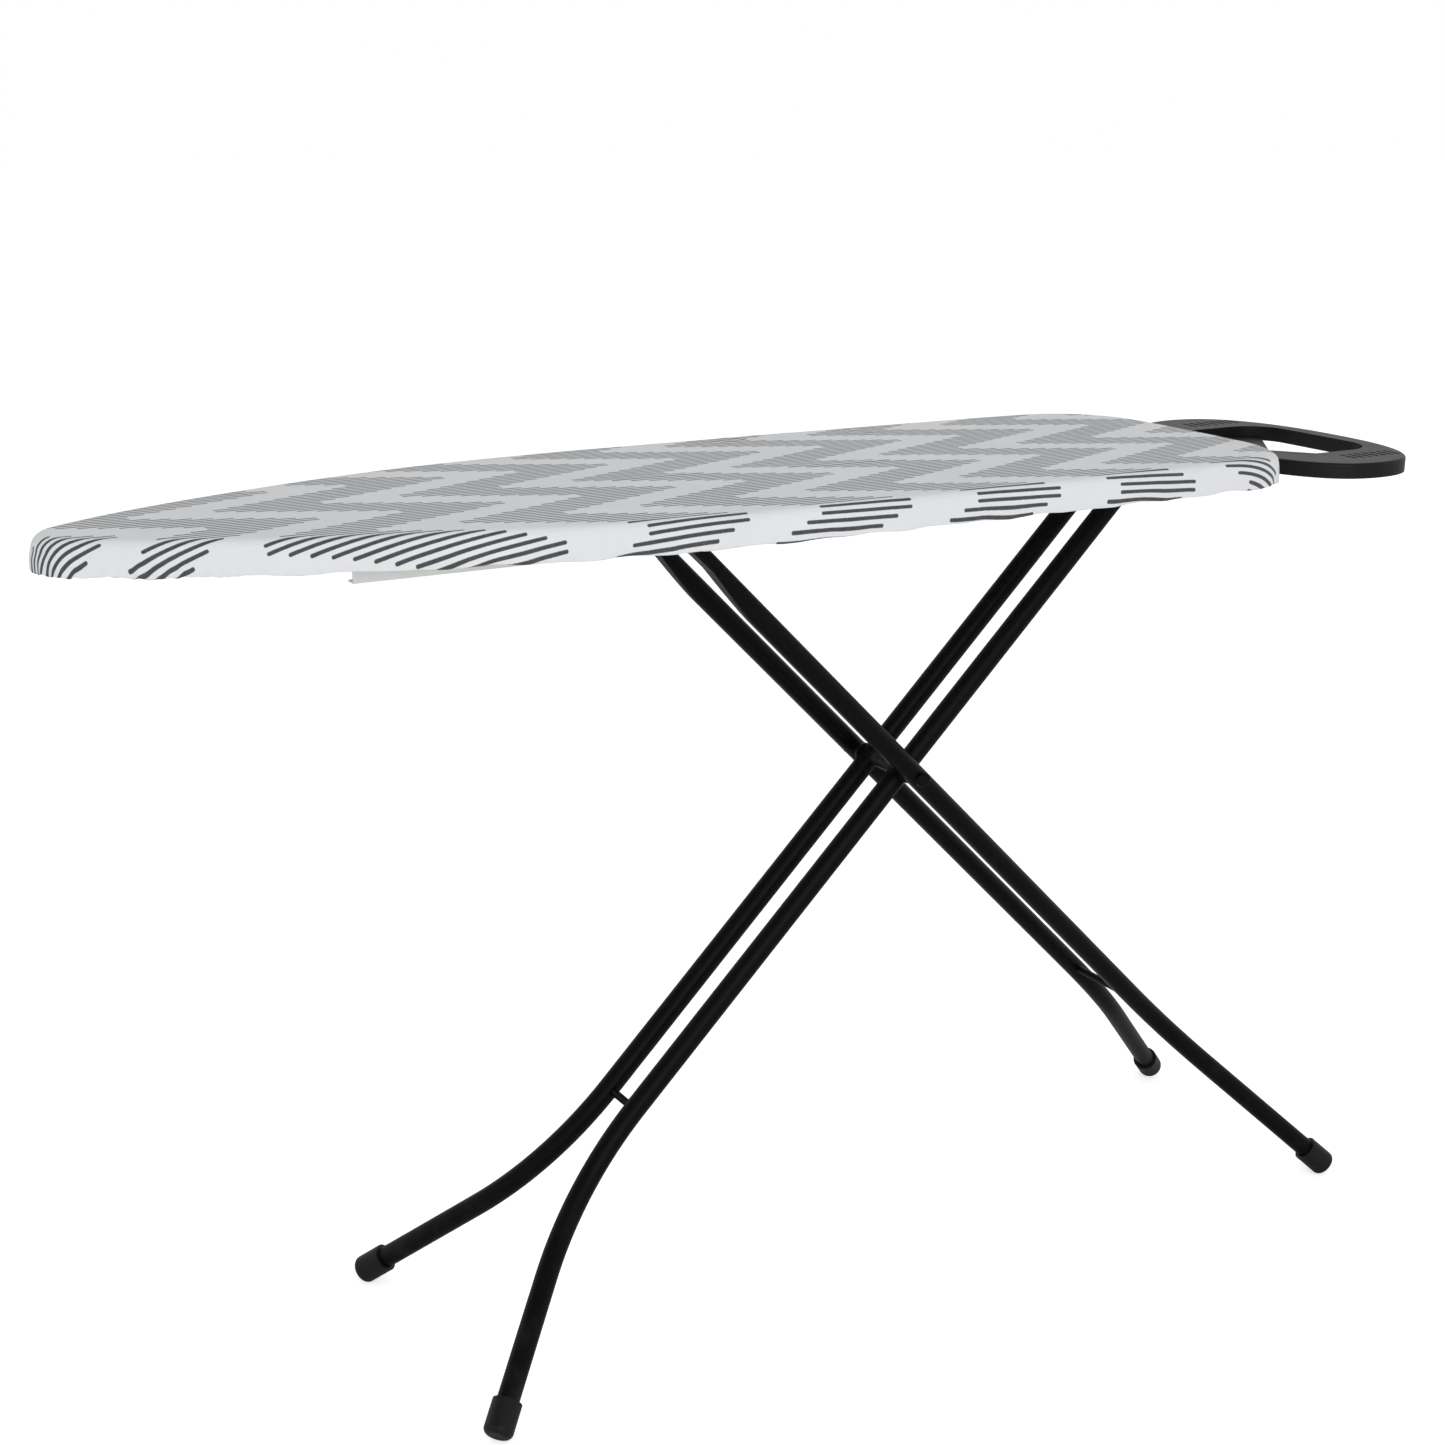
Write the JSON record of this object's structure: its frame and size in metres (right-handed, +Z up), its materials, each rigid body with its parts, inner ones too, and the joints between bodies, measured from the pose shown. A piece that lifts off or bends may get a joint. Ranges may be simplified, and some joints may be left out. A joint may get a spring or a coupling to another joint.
{
  "type": "ironing board",
  "caption": "Folding ironing board: padded, cloth-covered deck with a rounded nose, moulded iron rest at the tail and crossed steel tube legs with a friction height lock.",
  "frame": {"origin": "on the floor, below the middle of the whole length", "axes": "+X along the board towards the iron rest, +Z up, Y across; the board is symmetric about Y=0"},
  "size_m": [1.4471, 0.38, 0.855],
  "materials": {
    "cover_cloth": "printed cotton, white with charcoal dashes",
    "drawstring_cord": "braided white cord",
    "pad_foam": "grey felted foam",
    "deck_steel": "white enamel",
    "black_frame": "black satin powder coat",
    "zinc_steel": "bright zinc plate",
    "rest_plastic": "charcoal moulded, satin",
    "black_plastic": "black moulded, satin",
    "white_nylon": "natural nylon"
  },
  "bodies": {
    "board": {"cover": "cover_cloth", "cover_drawstring": "drawstring_cord", "pad": "pad_foam", "deck": "deck_steel", "rim_near": "deck_steel", "rim_far": "deck_steel", "rib_nose": "deck_steel", "rib_front": "deck_steel", "rib_middle": "deck_steel", "rib_tail": "deck_steel", "rail_near": "deck_steel", "rail_far": "deck_steel", "guide_rod": "zinc_steel", "rail_rivets": "zinc_steel", "hinge_bush_near": "white_nylon", "hinge_bush_far": "white_nylon", "iron_rest": "rest_plastic", "rest_screws": "zinc_steel", "rest_bracket_near": "zinc_steel", "rest_bracket_far": "zinc_steel"},
    "inner_legs": {"hinge_axle": "zinc_steel", "axle_clips": "zinc_steel", "inner_leg_near": "black_frame", "inner_leg_far": "black_frame", "inner_brace": "black_frame", "inner_foot_near": "black_plastic", "inner_foot_far": "black_plastic", "pivot_spacer": "black_plastic", "pivot_washers": "black_plastic", "pivot_bolt": "black_frame", "pivot_nut": "black_frame"},
    "outer_legs": {"slider_bar": "zinc_steel", "outer_leg_near": "black_frame", "outer_leg_far": "black_frame", "outer_brace": "black_frame", "outer_foot_near": "black_plastic", "outer_foot_far": "black_plastic"},
    "slider": {"slide_shoe_near": "white_nylon", "slide_shoe_far": "white_nylon", "lock_housing": "white_nylon", "lever_pin": "zinc_steel", "lever_springs": "zinc_steel"},
    "lever": {"release_lever": "zinc_steel", "lever_grip": "black_plastic"}
  },
  "joints": [
    {"name": "fold", "type": "hinge", "parent": "board", "child": "inner_legs", "pos_m": [0.4055, 0, 0.815], "axis": [0, 1, 0], "range_deg": [-7.5, 41.8]},
    {"name": "scissor", "type": "hinge", "parent": "inner_legs", "child": "outer_legs", "pos_m": [0.12451, 0, 0.53597], "axis": [0, 1, 0], "range_deg": [-83.6, 15]},
    {"name": "slider_level", "type": "hinge", "parent": "outer_legs", "child": "slider", "pos_m": [-0.15648, 0, 0.815], "axis": [0, 1, 0], "range_deg": [-7.5, 41.8]},
    {"name": "lever_squeeze", "type": "hinge", "parent": "slider", "child": "lever", "pos_m": [-0.13798, 0, 0.812], "axis": [0, 1, 0], "range_deg": [0, 6], "stiffness_Nm_per_rad": 1.5, "springref_deg": -11.46}
  ],
  "couplings": [
    {"joint": "scissor", "follows": "fold", "ratio": -2},
    {"joint": "slider_level", "follows": "fold", "ratio": 1}
  ]
}
